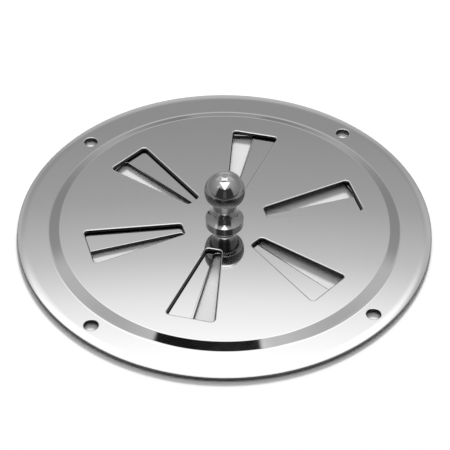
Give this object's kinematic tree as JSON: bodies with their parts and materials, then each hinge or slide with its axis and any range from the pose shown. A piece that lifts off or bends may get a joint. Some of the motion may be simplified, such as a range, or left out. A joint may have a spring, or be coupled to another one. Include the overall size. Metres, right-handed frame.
{
  "type": "round vent cover",
  "caption": "Round polished steel vent cover: stamped plate with wedge slots and screw holes, and a ball knob that turns a slotted shutter behind it.",
  "frame": {"origin": "centre of the screw circle on the back of the flange, the face that lies on the wall", "axes": "+Z out of the wall along the knob's axis, +X and +Y between the screw holes"},
  "size_m": [0.127, 0.127, 0.0215],
  "materials": {
    "polished_sheet": "buffed stainless sheet, mirror bright",
    "turned_steel": "turned and polished, with a fine knurled belt",
    "washer_steel": "plain stainless washer, satin"
  },
  "bodies": {
    "cover": {"front_plate": "polished_sheet"},
    "turning_shutter": {"shutter": "polished_sheet", "knob": "turned_steel", "spring_washer": "washer_steel", "rivet_washer": "washer_steel"}
  },
  "joints": [
    {"name": "shutter_turn", "type": "hinge", "parent": "cover", "child": "turning_shutter", "pos_m": [0, 0, 0.0018], "axis": [0, 0, 1], "continuous": true}
  ]
}
